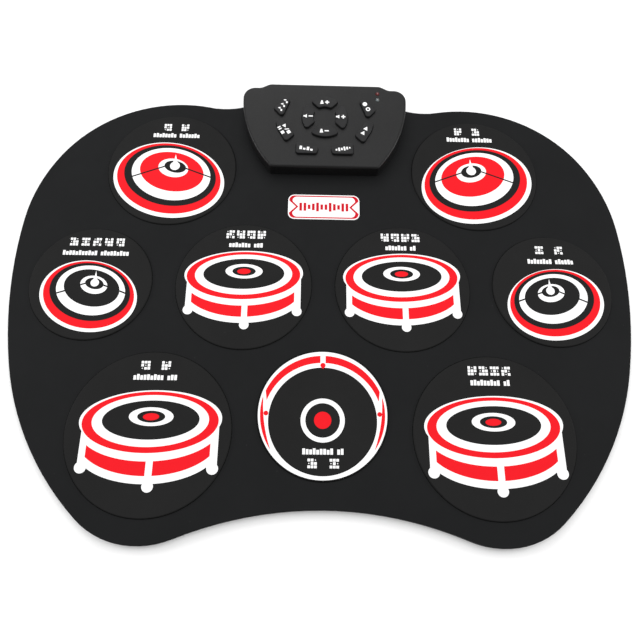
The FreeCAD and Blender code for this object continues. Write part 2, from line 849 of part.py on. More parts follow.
def make_bottom_shell():
    """The floor plate, with six screw bosses, the battery bay and the door's channel."""
    plate = extrude("floor_plate", plate_outline, 0, "base_thickness")
    bosses = [
        cylinder(f"boss_{n}", "boss_radius", "boss_split_z - 0.05", x, y, 0)
        for n, (x, y) in enumerate(both_sides(BOSSES))
    ]
    bay_depth = "bay_rear_y - bay_front_y"
    bay = middle_block(
        "bay_walls",
        "2 * bay_half_x + 2 * bay_wall",
        (f"{bay_depth} + 2 * bay_wall", "bay_roof_z + bay_roof - base_thickness"),
        0,
        "bay_front_y - bay_wall",
        "base_thickness",
    )
    ledge_block = middle_block(
        "ledge_block",
        "door_width + 6",
        ("case_rear_y - door_front_y", "ledge_thickness"),
        0,
        "door_front_y - 1.8",
        "base_thickness",
    )
    ledge = common("door_ledge", [ledge_block, extrude("ledge_outline", inner_outline, 0, "bay_roof_z")])
    solid = fuse("floor_solid", [plate, bay, ledge] + bosses)

    hollow = middle_block(
        "bay_hollow", "2 * bay_half_x", (bay_depth, "bay_roof_z + 1"), 0, "bay_front_y", -1
    )
    channel_y = "door_front_y - door_play"
    channel_depth = "case_rear_y - door_front_y + 10"
    channel = middle_block(
        "door_channel", "door_width + 2 * door_play", (channel_depth, "base_thickness + 1"), 0, channel_y, -1
    )
    groove = middle_block(
        "door_groove",
        "tongue_width + 2 * door_play",
        (channel_depth, "tongue_thickness + 0.2"),
        0,
        channel_y,
        "tongue_z - 0.1",
    )
    holes = [
        cylinder(f"clearance_{n}", "screw_radius + 0.3", "2 * boss_split_z", x, y, -1)
        for n, (x, y) in enumerate(both_sides(BOSSES))
    ]
    seats = [
        cylinder(f"seat_{n}", "screw_head_radius + 0.3", "screw_seat_z + 1", x, y, -1)
        for n, (x, y) in enumerate(both_sides(BOSSES))
    ]
    keep(cut("bottom_shell", solid, [hollow, channel, groove] + holes + seats))


def make_battery_door():
    """The door slides in from the rear edge on two side tongues, and has ribs for a thumb."""
    depth = "case_rear_y - door_front_y + 3"
    body = middle_block("door_body", "door_width", (depth, "door_thickness"), 0, "door_front_y", "door_lift")
    tongue = middle_block(
        "door_tongue", "tongue_width", (depth, "tongue_thickness"), 0, "door_front_y", "tongue_z"
    )
    limit = extrude("door_limit", plate_outline, 0, "base_thickness")
    plain = common("door_plain", [fuse("door_solid", [body, tongue]), limit])
    ribs = [
        middle_block(
            f"door_rib_{n}",
            "rib_length",
            ("rib_pitch / 2 - 0.2", "door_lift + rib_depth"),
            0,
            f"door_front_y + 8 + {n} * rib_pitch",
            0,
        )
        for n in range(4)
    ]
    keep(cut("battery_door", plain, ribs))


def make_cell(label, side, row_y):
    """One AAA cell lying along X, with its plus pole outwards."""
    lean = FreeCAD.Rotation(V(0, 0, 1), V(side, 0, 0))
    middle_z = value("base_thickness + battery_radius")
    return turned(
        label,
        [
            ("0", "0"),
            ("battery_radius - 0.3", "0"),
            ("battery_radius", "0.3"),
            ("battery_radius", "battery_length - 1.5"),
            ("battery_radius - 0.6", "battery_length - 0.9"),
            ("pole_radius", "battery_length - 0.9"),
            ("pole_radius", "battery_length"),
            ("0", "battery_length"),
        ],
        (side * value("bridge_width / 2"), row_y, middle_z),
        lean,
    )


def make_batteries():
    """Four AAA cells in two rows, and the contact plates at their ends."""
    cells = []
    contacts = []
    plate = ("contact_width", "contact_height")
    end = "bridge_width / 2 + battery_length"
    for row, row_y in enumerate(("front_row_y", "front_row_y + row_pitch")):
        low_y = f"{row_y} - contact_width / 2"
        for side in (-1, 1):
            cells.append(make_cell(f"cell_{row}_{'left' if side < 0 else 'right'}", side, value(row_y)))
            middle_x = f"{side} * (bay_half_x + {end}) / 2"
            label = f"contact_{row}_{side}"
            contacts.append(middle_block(label, f"bay_half_x - ({end})", plate, middle_x, low_y, "contact_z"))
        contacts.append(middle_block(f"bridge_{row}", "bridge_width", plate, 0, low_y, "contact_z"))
    keep(fuse("aaa_batteries", cells))
    keep(fuse("battery_contacts", contacts))


def make_board():
    """The main board under the membrane, its chips and the film's connector."""
    drawing = polygon("board_outline", BOARD_HALF + mirrored(BOARD_HALF))
    flat = extrude("board_flat", drawing, BOARD_UNDER, "board_thickness")
    holes = [
        cylinder(
            f"board_hole_{n}", "board_screw_radius + 0.2", "3 * board_thickness", x, y, f"{BOARD_UNDER} - 1"
        )
        for n, (x, y) in enumerate(both_sides(BOARD_POSTS))
    ]
    keep(on_panel(cut("main_board", flat, holes)))
    chips = [
        block(name, (*size, height), (*corner, f"{BOARD_UNDER} - {height}"))
        for name, size, corner, height in CHIPS
    ]
    keep(on_panel(fuse("board_chips", chips)))
    body = middle_block(
        "connector_block",
        "tail_width + 4",
        ("connector_depth", "connector_height"),
        0,
        "connector_y",
        "connector_z",
    )
    slit = middle_block(
        "connector_slit",
        "tail_width + 0.6",
        ("2 * film_thickness", "connector_height - 0.4"),
        0,
        "tail_rear_y - 1.5 * film_thickness",
        "connector_z - 0.4",
    )
    keep(cut("film_connector", body, [slit]))


def make_fasteners():
    """Six case screws from below and four board screws, each set as one group."""
    case_screws = [
        turned(
            f"case_screw_{n}",
            [
                ("0", "screw_seat_z - screw_head"),
                ("screw_head_radius", "screw_seat_z - screw_head"),
                ("screw_head_radius", "screw_seat_z"),
                ("screw_radius", "screw_seat_z"),
                ("screw_radius", "screw_tip_z - 1"),
                ("0", "screw_tip_z"),
            ],
            (x, y, 0),
        )
        for n, (x, y) in enumerate(both_sides(BOSSES))
    ]
    keep(fuse("case_screws", case_screws))
    board_screws = [
        turned(
            f"board_screw_{n}",
            [
                ("0", "-1.1"),
                ("board_screw_head", "-1.1"),
                ("board_screw_head", "-0.1"),
                ("board_screw_radius", "0"),
                ("board_screw_radius", "board_pilot + 0.4"),
                ("0", "board_pilot + 0.8"),
            ],
            (x, y, BOARD_UNDER),
        )
        for n, (x, y) in enumerate(both_sides(BOARD_POSTS))
    ]
    keep(fuse("board_screws", [on_panel(screw) for screw in board_screws]))


def make_leds():
    """Two round LEDs that stand on the board and show their domes through the panel."""
    for name, y in LEDS:
        led = turned(
            name,
            [
                ("0", "0"),
                ("led_radius", "0"),
                ("led_radius", "board_top"),
                ("led_radius - 0.16", "board_top + 0.35"),
                ("led_radius - 0.6", "board_top + 0.65"),
                ("0", "board_top + 0.8"),
            ],
            ("led_x", y, "-board_top"),
        )
        keep(on_panel(led))


def make_sockets():
    """Four 3.5 mm jacks, the USB socket and the power switch in the rear panel."""
    inside = "case_rear_y - case_wall"
    for name, x in REAR_SOCKETS:
        housing = middle_block(
            name + "_housing",
            "jack_width",
            ("jack_body", "jack_height"),
            x,
            f"{inside} - jack_body",
            "jack_z - jack_height / 2",
        )
        tube = lying_cylinder(
            name + "_tube", "port_radius - 0.15", "case_wall + 1", x, f"{inside} - 1", "jack_z"
        )
        bore = lying_cylinder(
            name + "_bore", "jack_bore", "2 * jack_depth", x, "case_rear_y - jack_depth", "jack_z"
        )
        keep(cut(name, fuse(name + "_solid", [housing, tube]), [bore]))

    shell = middle_block(
        "usb_shell",
        "usb_width",
        ("usb_depth", "usb_height"),
        "usb_x",
        "case_rear_y - 0.2 - usb_depth",
        "usb_z - usb_height / 2",
    )
    mouth = middle_block(
        "usb_mouth",
        "usb_width - 2 * usb_wall",
        ("mouth_depth", "usb_height - 2 * usb_wall"),
        "usb_x",
        "case_rear_y - mouth_depth",
        "usb_z - usb_height / 2 + usb_wall",
    )
    tongue = middle_block(
        "usb_tongue",
        "usb_width - 3.6",
        ("mouth_depth - 0.6", "usb_tongue"),
        "usb_x",
        "case_rear_y - mouth_depth - 0.2",
        "usb_z - usb_tongue / 2",
    )
    keep(fuse("usb_socket", [cut("usb_hollow", shell, [mouth]), tongue]))

    frame = middle_block(
        "switch_frame",
        "switch_width",
        ("switch_body", "switch_body"),
        "switch_x",
        f"{inside} - 0.2 - switch_body",
        "switch_z - switch_body / 2",
    )
    guide = middle_block(
        "switch_guide",
        "switch_slot - 0.4",
        ("switch_body - 1", "lever_height + 0.4"),
        "switch_x",
        f"{inside} + 1 - switch_body",
        "switch_z - lever_height / 2 - 0.2",
    )
    keep(cut("power_switch_body", frame, [guide]))
    lever = middle_block(
        "lever",
        "lever_width",
        ("lever_depth", "lever_height"),
        "switch_x - switch_travel / 2",
        "case_rear_y - 0.2 - lever_depth",
        "switch_z - lever_height / 2",
    )
    flush = value("case_rear_y") - 0.3
    keep(rounded("power_switch_slider", lever, "lever_round", lambda b: b.YMin > flush))


def write_steps():
    """Checks every object and writes each sub-part to its own file."""
    doc.recompute()
    bad = [thing.Label for thing in doc.Objects if {"Invalid", "Error"} & set(thing.State)]
    if bad:
        raise RuntimeError(f"objects that failed to build: {bad}")
    for part in SUB_PARTS:
        if part.Shape.isNull() or not part.Shape.isValid():
            raise RuntimeError(f"{part.Label} has no valid shape")
    os.makedirs("parts", exist_ok=True)
    for part in SUB_PARTS:
        part.Shape.exportStep(f"parts/{part.Label}.step")
        box = part.Shape.BoundBox
        print(
            f"{part.Label}: {len(part.Shape.Solids)} solid(s), {part.Shape.Volume:.1f} mm3, "
            f"X {box.XMin:.2f}..{box.XMax:.2f} Y {box.YMin:.2f}..{box.YMax:.2f} "
            f"Z {box.ZMin:.2f}..{box.ZMax:.2f}"
        )


make_base()
make_film()
make_mat_top()
make_pads()
make_badge()
make_top_shell(make_keys())
make_bottom_shell()
make_battery_door()
make_batteries()
make_board()
make_fasteners()
make_leds()
make_sockets()
write_steps()
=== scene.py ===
"""Looks of the roll-up drum pad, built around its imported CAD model.

Tables and helpers work in millimetres, and every finished mesh is in metres in the CAD model's frame.
"""
import json
import math

import bmesh
import bpy
from mathutils import Matrix, Vector


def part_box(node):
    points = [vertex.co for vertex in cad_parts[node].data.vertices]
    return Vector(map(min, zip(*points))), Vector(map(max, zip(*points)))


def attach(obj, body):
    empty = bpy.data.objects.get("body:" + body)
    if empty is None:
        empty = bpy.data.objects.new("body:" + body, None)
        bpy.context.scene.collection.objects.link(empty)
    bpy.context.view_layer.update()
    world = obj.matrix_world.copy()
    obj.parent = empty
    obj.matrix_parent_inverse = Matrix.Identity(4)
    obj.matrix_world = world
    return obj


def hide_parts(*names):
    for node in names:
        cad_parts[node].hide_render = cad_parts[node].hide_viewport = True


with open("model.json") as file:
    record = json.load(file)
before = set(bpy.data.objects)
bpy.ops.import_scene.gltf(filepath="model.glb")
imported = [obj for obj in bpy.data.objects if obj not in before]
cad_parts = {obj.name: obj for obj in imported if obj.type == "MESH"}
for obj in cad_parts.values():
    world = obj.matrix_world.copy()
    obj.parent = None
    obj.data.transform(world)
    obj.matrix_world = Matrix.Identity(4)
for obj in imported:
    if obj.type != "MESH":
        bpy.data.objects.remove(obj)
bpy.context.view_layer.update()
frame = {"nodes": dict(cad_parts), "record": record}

MM = 0.001
INK = 0.03  # thickness of one layer of ink
scene = bpy.context.scene


# ---------------------------------------------------------------- node materials


class Finish:
    """A material made of a principled shader and procedural nodes in object coordinates."""

    def __init__(self, name, colour, roughness, **fixed):
        self.material = bpy.data.materials.new(name)
        self.material.use_nodes = True
        self.tree = self.material.node_tree
        self.shader = self.tree.nodes["Principled BSDF"]
        self.colour = colour
        self.shader.inputs["Base Color"].default_value = (*colour, 1)
        self.shader.inputs["Roughness"].default_value = roughness
        for socket, amount in fixed.items():
            self.shader.inputs[socket.replace("_", " ")].default_value = amount
        self.place = self.add("ShaderNodeTexCoord").outputs["Object"]

    def add(self, kind, **values):
        """A node. values sets inputs by name; a socket given as a value is linked."""
        node = self.tree.nodes.new(kind)
        for name, value in values.items():
            self.feed(node.inputs[name.replace("_", " ")], value)
        return node

    def feed(self, socket, value):
        if isinstance(value, bpy.types.NodeSocket):
            self.tree.links.new(value, socket)
        else:
            socket.default_value = value

    def stretched(self, scale):
        """Object coordinates stretched differently along each axis."""
        return self.add("ShaderNodeMapping", Vector=self.place, Scale=scale).outputs["Vector"]

    def noise(self, size, detail=2.0, rough=0.5, place=None):
        """Noise between 0 and 1 with features of about size millimetres."""
        node = self.add(
            "ShaderNodeTexNoise",
            Vector=place or self.place,
            Scale=1 / (size * MM),
            Detail=detail,
            Roughness=rough,
        )
        return node.outputs["Fac"]

    def cells(self, size):
        """Distance to the nearest of scattered points about size millimetres apart."""
        node = self.add("ShaderNodeTexVoronoi", Vector=self.place, Scale=1 / (size * MM))
        return node.outputs["Distance"]

    def level(self, value, low, high, from_low=0.0, from_high=1.0):
        """Maps a value onto another range, without leaving it."""
        node = self.add(
            "ShaderNodeMapRange",
            Value=value,
            From_Min=from_low,
            From_Max=from_high,
            To_Min=low,
            To_Max=high,
        )
        return node.outputs["Result"]

    def math(self, operation, first, second):
        node = self.tree.nodes.new("ShaderNodeMath")
        node.operation = operation
        self.feed(node.inputs[0], first)
        self.feed(node.inputs[1], second)
        return node.outputs[0]

    def mixed(self, share, first, second):
        """A colour between two colours."""
        node = self.tree.nodes.new("ShaderNodeMix")
        node.data_type = "RGBA"
        self.feed(node.inputs["Factor"], share)
        for socket, colour in ((node.inputs[6], first), (node.inputs[7], second)):
            self.feed(socket, (*colour, 1) if isinstance(colour, tuple) else colour)
        return node.outputs[2]

    def shade(self, amount):
        """The base colour times a number."""
        return tuple(part * amount for part in self.colour)

    def paint(self, colour):
        self.feed(self.shader.inputs["Base Color"], colour)

    def rough(self, value):
        self.feed(self.shader.inputs["Roughness"], value)

    def relief(self, *layers):
        """Bumps one on top of the other, as (height, depth in millimetres, strength)."""
        normal = None
        for height, depth, strength in layers:
            node = self.add("ShaderNodeBump", Height=height, Distance=depth * MM, Strength=strength)
            if normal:
                self.feed(node.inputs["Normal"], normal)
            normal = node.outputs["Normal"]
        self.feed(self.shader.inputs["Normal"], normal)


def silicone(name, colour, roughness, grain):
    """Moulded silicone: fine matte grain, slow change of tone, and a little pale dust."""
    finish = Finish(name, colour, roughness, Specular_IOR_Level=0.06)
    tone = finish.mixed(finish.noise(45, 4), finish.shade(0.82), finish.shade(1.2))
    fine = finish.noise(0.5, 2)
    grained = finish.mixed(finish.level(fine, 0.0, 0.35, 0.4, 0.75), tone, finish.shade(1.7))
    specks = finish.math("MULTIPLY", finish.level(finish.cells(9.0), 1.0, 0.0, 0.012, 0.03), 0.35)
    finish.paint(finish.mixed(specks, grained, (0.1, 0.1, 0.098)))
    finish.rough(finish.level(finish.noise(7, 4), roughness - 0.06, roughness + 0.08))
    finish.relief((fine, grain, 0.6), (finish.noise(30, 2), 0.25, 0.25))
    return finish.material


def textured_plastic(name, colour, roughness, depth):
    """Plastic from a spark-textured mould, with small scuffs that shine a little."""
    finish = Finish(name, colour, roughness, Specular_IOR_Level=0.17, Coat_Weight=0.06, Coat_Roughness=0.2)
    pits = finish.cells(0.55)
    fine = finish.noise(0.28, 3, 0.6)
    tone = finish.mixed(finish.noise(25, 3), finish.shade(0.9), finish.shade(1.12))
    grit = finish.noise(0.9, 4, 0.75)
    speckled = finish.mixed(finish.level(grit, 0.0, 0.85, 0.52, 0.78), tone, finish.shade(3.0))
    finish.paint(finish.mixed(finish.level(fine, 0.0, 0.45, 0.45, 0.8), speckled, finish.shade(1.8)))
    scuffs = finish.noise(1.2, 3, 0.6, finish.stretched((0.2, 1.0, 1.0)))
    worn = finish.level(scuffs, 0.0, 0.1, 0.62, 0.7)
    base = finish.level(finish.noise(11, 3), roughness - 0.04, roughness + 0.06)
    finish.rough(finish.math("SUBTRACT", base, worn))
    finish.relief((pits, depth, 0.45), (fine, depth * 0.8, 0.5))
    return finish.material


def soft_rubber(name, colour, roughness):
    """Key rubber: a soft-touch coat, polished a little where fingers press."""
    finish = Finish(name, colour, roughness, Specular_IOR_Level=0.18)
    fine = finish.noise(0.35, 2)
    finish.paint(finish.mixed(finish.noise(5, 4), finish.shade(0.85), finish.shade(1.25)))
    finish.rough(finish.level(finish.noise(6, 3), roughness - 0.12, roughness + 0.06, 0.3, 0.7))
    finish.relief((fine, 0.02, 0.5), (finish.noise(4, 2), 0.05, 0.3))
    return finish.material


def printed_ink(name, colour, roughness):
    """Screen-printed ink, with the silicone's grain showing through and a slightly uneven coat."""
    finish = Finish(name, colour, roughness, Specular_IOR_Level=0.06)
    fine = finish.noise(0.5, 2)
    coat = finish.mixed(finish.noise(3, 4), finish.shade(0.95), finish.shade(1.03))
    finish.paint(finish.mixed(finish.level(fine, 0.0, 0.12, 0.62, 0.85), coat, finish.shade(0.8)))
    finish.rough(finish.level(finish.noise(8, 3), roughness - 0.06, roughness + 0.08))
    finish.relief((fine, 0.012, 0.5), (finish.noise(1.8, 2), 0.02, 0.3))
    return finish.material


def glossy_print(name, colour, roughness):
    """A satin label surface with faint orange peel."""
    finish = Finish(name, colour, roughness, Specular_IOR_Level=0.45, Coat_Weight=0.12, Coat_Roughness=0.25)
    finish.paint(finish.mixed(finish.noise(6, 4), finish.shade(0.96), finish.shade(1.02)))
    finish.rough(finish.level(finish.noise(5, 3), roughness - 0.05, roughness + 0.07))
    finish.relief((finish.noise(0.8, 2), 0.01, 0.4))
    return finish.material


def plain_moulding(name, colour, roughness):
    """Small moulded parts: gate-side flow lines and a light grain."""
    finish = Finish(name, colour, roughness)
    flow = finish.noise(2.5, 3, 0.55, finish.stretched((1.0, 0.25, 1.0)))
    finish.paint(finish.mixed(flow, finish.shade(0.8), finish.shade(1.25)))
    finish.rough(finish.level(finish.noise(1.5, 3), roughness - 0.08, roughness + 0.1))
    finish.relief((finish.noise(0.4, 2), 0.015, 0.5))
    return finish.material


def plated_metal(name, colour, roughness, along=(1.0, 0.08, 1.0)):
    """Plated metal with drawn lines, and duller patches."""
    finish = Finish(name, colour, roughness, Metallic=1.0)
    lines = finish.noise(0.25, 3, 0.6, finish.stretched(along))
    patches = finish.noise(4, 4)
    finish.paint(finish.mixed(patches, finish.shade(0.78), finish.shade(1.05)))
    dullness = finish.level(patches, roughness, roughness + 0.12)
    finish.rough(finish.math("ADD", finish.level(lines, -0.06, 0.12), dullness))
    finish.relief((lines, 0.006, 0.5))
    return finish.material


def solder_mask():
    """Circuit board: green mask over tracks, with the glass weave just visible."""
    finish = Finish("circuit_board", (0.012, 0.1, 0.035), 0.3, Coat_Weight=0.4, Coat_Roughness=0.15)
    tracks = finish.tree.nodes.new("ShaderNodeTexBrick")
    finish.feed(tracks.inputs["Vector"], finish.place)
    finish.feed(tracks.inputs["Scale"], 120.0)
    finish.feed(tracks.inputs["Mortar Size"], 0.05)
    weave = finish.noise(0.7, 2)
    green = finish.mixed(weave, finish.shade(0.75), finish.shade(1.15))
    finish.paint(finish.mixed(tracks.outputs["Fac"], green, (0.02, 0.17, 0.06)))
    finish.rough(finish.level(weave, 0.24, 0.38))
    finish.relief((tracks.outputs["Fac"], 0.03, 0.5), (weave, 0.01, 0.4))
    return finish.material


def sensor_film_as_painted_shade():
    """Film coloured near black as painted shade, so the gap around each strike pad reads dark, with a faint
    comb of carbon ink under the cover coat.
    """
    # The near-black base colour is painted shade, seen through the gaps around the strike pads.
    finish = Finish("sensor_film", (0.009, 0.009, 0.009), 0.5, Specular_IOR_Level=0.1)
    comb = finish.tree.nodes.new("ShaderNodeTexWave")
    comb.wave_type = "BANDS"
    finish.feed(comb.inputs["Vector"], finish.place)
    finish.feed(comb.inputs["Scale"], 160.0)
    stripes = finish.level(comb.outputs["Fac"], 0, 1, 0.45, 0.55)
    finish.paint(finish.mixed(stripes, finish.shade(0.8), finish.shade(1.5)))
    finish.rough(finish.level(finish.noise(3, 3), 0.45, 0.6))
    finish.relief((comb.outputs["Fac"], 0.01, 0.4))
    return finish.material


def cell_jacket():
    """Battery jacket: printed film in two tones, with a faint shrink wrinkle."""
    finish = Finish("battery_jacket", (0.03, 0.07, 0.2), 0.28, Coat_Weight=0.35, Coat_Roughness=0.12)
    across = finish.add("ShaderNodeSeparateXYZ", Vector=finish.place).outputs["X"]
    outward = finish.math("ABSOLUTE", across, 0.0)
    band = finish.level(outward, 0.0, 1.0, 0.0325, 0.0328)
    blue = finish.mixed(finish.noise(3, 3), (0.028, 0.065, 0.19), (0.035, 0.08, 0.22))
    finish.paint(finish.mixed(band, blue, (0.55, 0.5, 0.36)))
    finish.rough(finish.level(finish.noise(2, 3), 0.22, 0.36))
    finish.relief((finish.noise(1.5, 2), 0.02, 0.3))
    return finish.material


def tinted_resin(name, colour):
    """Cast LED resin, unlit, with faint flow marks inside."""
    finish = Finish(name, colour, 0.12, Transmission_Weight=0.35, IOR=1.5, Subsurface_Weight=0.2)
    finish.paint(finish.mixed(finish.noise(1.2, 2), finish.shade(0.85), finish.shade(1.1)))
    finish.rough(finish.level(finish.noise(0.8, 2), 0.08, 0.2))
    finish.relief((finish.noise(0.9, 2), 0.01, 0.25))
    return finish.material


def floor_paper():
    """Pale seamless paper."""
    finish = Finish("studio_floor", (0.92, 0.92, 0.92), 0.75, Specular_IOR_Level=0.1)
    fine = finish.noise(1.5, 3)
    finish.paint(finish.mixed(fine, finish.shade(0.99), finish.shade(1.0)))
    finish.relief((fine, 0.02, 0.2))
    return finish.material


MATERIALS = {
    "mat_silicone": silicone("mat_silicone", (0.0092, 0.0095, 0.0099), 0.62, 0.03),
    "pad_silicone": silicone("pad_silicone", (0.0122, 0.0122, 0.0122), 0.66, 0.025),
    "carbon_rubber": soft_rubber("carbon_rubber", (0.008, 0.008, 0.009), 0.7),
    # The sensor film's dark colour is painted shade for the gaps around the pads.
    "sensor_film": sensor_film_as_painted_shade(),
    "badge_white": glossy_print("badge_white", (0.86, 0.86, 0.86), 0.35),
    "case_plastic": textured_plastic("case_plastic", (0.0066, 0.0066, 0.0068), 0.43, 0.07),
    "key_rubber": soft_rubber("key_rubber", (0.0112, 0.0112, 0.0117), 0.52),
    "circuit_board": solder_mask(),
    "chip_black": plain_moulding("chip_black", (0.015, 0.015, 0.016), 0.5),
    "socket_black": plain_moulding("socket_black", (0.013, 0.013, 0.014), 0.38),
    "contact_metal": plated_metal("contact_metal", (0.62, 0.62, 0.63), 0.24),
    "battery_jacket": cell_jacket(),
    "screw_steel": plated_metal("screw_steel", (0.5, 0.5, 0.51), 0.3, (1.0, 1.0, 0.2)),
    "led_red": tinted_resin("led_red", (0.16, 0.006, 0.006)),
    "led_clear": tinted_resin("led_clear", (0.2, 0.2, 0.2)),
}
WHITE_INK = printed_ink("print_white", (0.9, 0.9, 0.9), 0.5)
RED_INK = printed_ink("print_red", (0.76, 0.009, 0.016), 0.5)
BLACK_INK = printed_ink("print_black", (0.0122, 0.0122, 0.0122), 0.6)
BADGE_RED = printed_ink("badge_red", (0.54, 0.005, 0.016), 0.4)

for part in frame["record"]["subparts"]:
    for shown in frame["nodes"][part["node"]].material_slots:
        shown.material = MATERIALS[part["material_slot"]]


# ---------------------------------------------------------------- outlines


def ellipse(x, y, a, b, turn=0.0, count=144):
    """A closed ellipse, turned counter-clockwise by degrees."""
    cosine, sine = math.cos(math.radians(turn)), math.sin(math.radians(turn))
    points = []
    for step in range(count):
        angle = 2 * math.pi * step / count
        u, v = a * math.cos(angle), b * math.sin(angle)
        points.append((x + u * cosine - v * sine, y + u * sine + v * cosine))
    return points


def arc(x, y, a, b, start, end, count=24):
    """Part of an ellipse from one angle to another, in degrees, ends included."""
    angles = [math.radians(start + (end - start) * step / count) for step in range(count + 1)]
    return [(x + a * math.cos(angle), y + b * math.sin(angle)) for angle in angles]


def disc(x, y, radius, count=48):
    return ellipse(x, y, radius, radius, 0, count)


def box(left, bottom, right, top):
    return [(left, bottom), (right, bottom), (right, top), (left, top)]


def bar(start, end, width):
    """A straight bar between two points."""
    (ax, ay), (bx, by) = start, end
    length = math.hypot(bx - ax, by - ay)
    ox, oy = -(by - ay) / length * width / 2, (bx - ax) / length * width / 2
    return [(ax + ox, ay + oy), (ax - ox, ay - oy), (bx - ox, by - oy), (bx + ox, by + oy)]


def moved(loops, shift=(0, 0), scale=(1, 1), turn=0.0):
    """Loops scaled, turned by degrees and then shifted."""
    cosine, sine = math.cos(math.radians(turn)), math.sin(math.radians(turn))
    result = []
    for loop in loops:
        scaled = [(x * scale[0], y * scale[1]) for x, y in loop]
        result.append(
            [(x * cosine - y * sine + shift[0], x * sine + y * cosine + shift[1]) for x, y in scaled]
        )
    return result


def circle_through(first, second, third):
    """Centre and radius of the circle through three points."""
    (ax, ay), (bx, by), (cx, cy) = first, second, third
    d = 2 * (ax * (by - cy) + bx * (cy - ay) + cx * (ay - by))
    a2, b2, c2 = ax * ax + ay * ay, bx * bx + by * by, cx * cx + cy * cy
    x = (a2 * (by - cy) + b2 * (cy - ay) + c2 * (ay - by)) / d
    y = (a2 * (cx - bx) + b2 * (ax - cx) + c2 * (bx - ax)) / d
    return x, y, math.hypot(ax - x, ay - y)


def bow(first, through, last, count=24):
    """A circular arc through three points, ends included."""
    x, y, radius = circle_through(first, through, last)
    start, middle, end = (
        math.degrees(math.atan2(py - y, px - x)) for px, py in (first, through, last)
    )
    while middle < start:
        middle += 360
    while end < start:
        end += 360
    if middle > end:
        end -= 360
    return arc(x, y, radius, radius, start, end, count)


# ---------------------------------------------------------------- meshes


def finish_mesh(name, mesh, body, material):
    """An object for a mesh whose points are in the CAD frame, riding on a body."""
    piece = bpy.data.objects.new(name, mesh)
    scene.collection.objects.link(piece)
    mesh.materials.clear()
    mesh.materials.append(material)
    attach(piece, body)
    return piece


def slab(name, loops, thickness):
    """A flat slab in millimetres with its underside at 0, filled where an odd number of loops overlap."""
    curve = bpy.data.curves.new(name, "CURVE")
    curve.dimensions = "2D"
    curve.fill_mode = "BOTH"
    curve.extrude = thickness / 2
    for loop in loops:
        spline = curve.splines.new("POLY")
        spline.points.add(len(loop) - 1)
        for point, (x, y) in zip(spline.points, loop):
            point.co = (x, y, 0, 1)
        spline.use_cyclic_u = True
    drawn = bpy.data.objects.new(name + "_drawn", curve)
    mesh = bpy.data.meshes.new_from_object(drawn)
    mesh.name = name
    mesh.transform(Matrix.Translation((0, 0, thickness / 2)))
    bpy.data.objects.remove(drawn)
    bpy.data.curves.remove(curve)
    work = bmesh.new()
    work.from_mesh(mesh)
    bmesh.ops.remove_doubles(work, verts=work.verts, dist=thickness * 0.01)
    bmesh.ops.recalc_face_normals(work, faces=work.faces)
    work.to_mesh(mesh)
    work.free()
    return mesh


def printed(name, loops, place, body, material, layer=0):
    """Ink on the plane of a placement, in the given layer above the surface."""
    mesh = slab(name, loops, INK)
    mesh.transform(Matrix.Scale(MM, 4) @ place @ Matrix.Translation((0, 0, layer * INK + 0.002)))
    piece = finish_mesh(name, mesh, body, material)
    return piece


# ---------------------------------------------------------------- marks that stand for labels

# Each tile is a three by three grid, read from its top row: a square for every 1, a dot for every 0.
TILES = ("111101011", "101111110", "110011111", "111010111", "011110101", "101111011")


def tile(left, bottom, width, height, pattern):
    """One mark like a page of a rhythm grid."""
    loops = []
    cell_x, cell_y = width / 3, height / 3
    for place, mark in enumerate(pattern):
        margin = 0.09 if mark == "1" else 0.34
        x = left + (place % 3) * cell_x
        y = bottom + (2 - place // 3) * cell_y
        loops.append(
            box(x + cell_x * margin, y + cell_y * margin, x + cell_x * (1 - margin), y + cell_y * (1 - margin))
        )
    return loops


def tiles(left, right, bottom, top, count, width, first=0):
    """A row of tiles, spread evenly between left and right."""
    pitch = (right - left - width) / (count - 1)
    loops = []
    for place in range(count):
        pattern = TILES[(first + place) % len(TILES)]
        loops += tile(left + pitch * place, bottom, width, top - bottom, pattern)
    return loops


def level_row(left, right, bottom, top, phase):
    """A row of short bars with heights like a sound level, with a gap in its middle."""
    pitch = 2.3
    count = int((right - left) / pitch)
    start = (left + right - count * pitch) / 2
    loops = []
    for place in range(count):
        if place == (count + int(phase)) // 2:
            continue
        height = 0.87 + 0.13 * math.sin(2.4 * place + phase)
        x = start + place * pitch
        loops.append(box(x + 0.25, bottom, x + 2.05, bottom + (top - bottom) * height))
    return loops


# ---------------------------------------------------------------- prints on the strike pads


def knob(x, y, radius, tip):
    """A cymbal's centre knob with the pointed rod above it."""
    width = radius * 0.24
    shoulder = (y + radius + 0.35 * (tip[1] - y - radius))
    ring = arc(x, y, radius, radius, 118, 422, 40)
    return [tip, (x - width, shoulder)] + ring + [(x + width, shoulder)]


